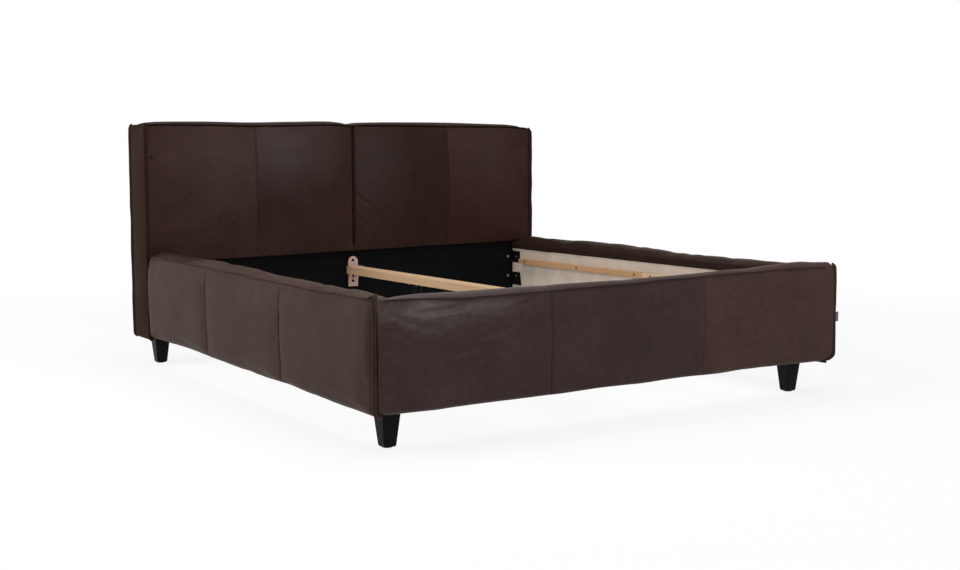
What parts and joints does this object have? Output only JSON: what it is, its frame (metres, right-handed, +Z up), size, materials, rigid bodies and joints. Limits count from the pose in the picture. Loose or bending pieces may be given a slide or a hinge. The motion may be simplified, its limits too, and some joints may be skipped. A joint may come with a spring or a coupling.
{
  "type": "platform bed frame",
  "caption": "Low platform bed frame with a padded headboard split by a centre channel, padded rails and footboard in dark brown leather, tapered legs and a lift-out centre beam.",
  "frame": {"origin": "on the floor, under the middle of the bed", "axes": "+X across the bed to the right seen from the foot, +Y towards the headboard, +Z up"},
  "size_m": [2.0164, 2.3134, 1.0773],
  "materials": {
    "leather": "satin",
    "foam": "matte",
    "black_cloth": "matte",
    "lining": "matte",
    "board": "matte",
    "hardboard": "matte",
    "ledger_wood": "matte",
    "beam_wood": "matte",
    "leg_wood": "satin",
    "black_steel": "satin",
    "plated_steel": "satin",
    "fastener_steel": "satin",
    "black_plastic": "matte",
    "tag_cloth": "matte"
  },
  "bodies": {
    "frame": {"bracket_bolts": "fastener_steel", "bracket_screws": "fastener_steel", "corner_brackets_foot": "black_steel", "corner_brackets_head": "black_steel", "foot_board": "board", "foot_foam": "foam", "foot_leather": "leather", "foot_leg_blocks": "board", "foot_lining": "lining", "hanger_plate_foot": "plated_steel", "hanger_plate_head": "plated_steel", "hanger_screws": "fastener_steel", "head_back_cover": "leather", "head_back_panel": "hardboard", "head_bottom_board": "board", "head_boxing_left": "leather", "head_boxing_right": "leather", "head_boxing_top": "leather", "head_centre_rib": "board", "head_centre_welt": "leather", "head_cloth": "black_cloth", "head_leg_blocks": "board", "head_pad_foam_left": "foam", "head_pad_foam_right": "foam", "head_pad_leather_left": "leather", "head_pad_leather_right": "leather", "head_panel": "board", "head_side_board_left": "board", "head_side_board_right": "board", "head_top_board": "board", "label_tag": "tag_cloth", "ledger_left": "ledger_wood", "ledger_right": "ledger_wood", "ledger_screws": "fastener_steel", "leg_foot_left": "leg_wood", "leg_foot_right": "leg_wood", "leg_glides": "black_plastic", "leg_head_left": "leg_wood", "leg_head_right": "leg_wood", "leg_studs": "fastener_steel", "rail_board_left": "board", "rail_board_right": "board", "rail_foam_left": "foam", "rail_foam_right": "foam", "rail_leather_left": "leather", "rail_leather_right": "leather", "rail_lining_left": "lining", "rail_lining_right": "lining"},
    "beam": {"centre_beam": "beam_wood", "beam_hook_head": "plated_steel", "beam_hook_foot": "plated_steel", "hook_screws": "fastener_steel", "centre_leg_plate_head": "black_steel", "centre_leg_plate_foot": "black_steel", "centre_leg_screws": "fastener_steel", "centre_leg_tube_head": "black_plastic", "centre_leg_tube_foot": "black_plastic"},
    "swivel_pad_head": {"swivel_pad_head": "black_plastic"},
    "height_adjuster_head": {"height_adjuster_head": "black_plastic"},
    "swivel_pad_foot": {"swivel_pad_foot": "black_plastic"},
    "height_adjuster_foot": {"height_adjuster_foot": "black_plastic"}
  },
  "joints": [
    {"name": "beam_lift", "type": "slide", "parent": "frame", "child": "beam", "axis": [0, 0, 1], "range_m": [0, 0.04]},
    {"name": "foot_height_head", "type": "slide", "parent": "beam", "child": "swivel_pad_head", "axis": [0, 0, 1], "range_m": [0, 0.01]},
    {"name": "adjuster_turn_head", "type": "hinge", "parent": "swivel_pad_head", "child": "height_adjuster_head", "pos_m": [0, 0.35, 0.02], "axis": [0, 0, 1], "range_deg": [0, 720]},
    {"name": "foot_height_foot", "type": "slide", "parent": "beam", "child": "swivel_pad_foot", "axis": [0, 0, 1], "range_m": [0, 0.01]},
    {"name": "adjuster_turn_foot", "type": "hinge", "parent": "swivel_pad_foot", "child": "height_adjuster_foot", "pos_m": [0, -0.447, 0.02], "axis": [0, 0, 1], "range_deg": [0, 720]}
  ],
  "couplings": [
    {"joint": "foot_height_head", "follows": "adjuster_turn_head", "m_per_rad": 0.00079577},
    {"joint": "foot_height_foot", "follows": "adjuster_turn_foot", "m_per_rad": 0.00079577}
  ]
}
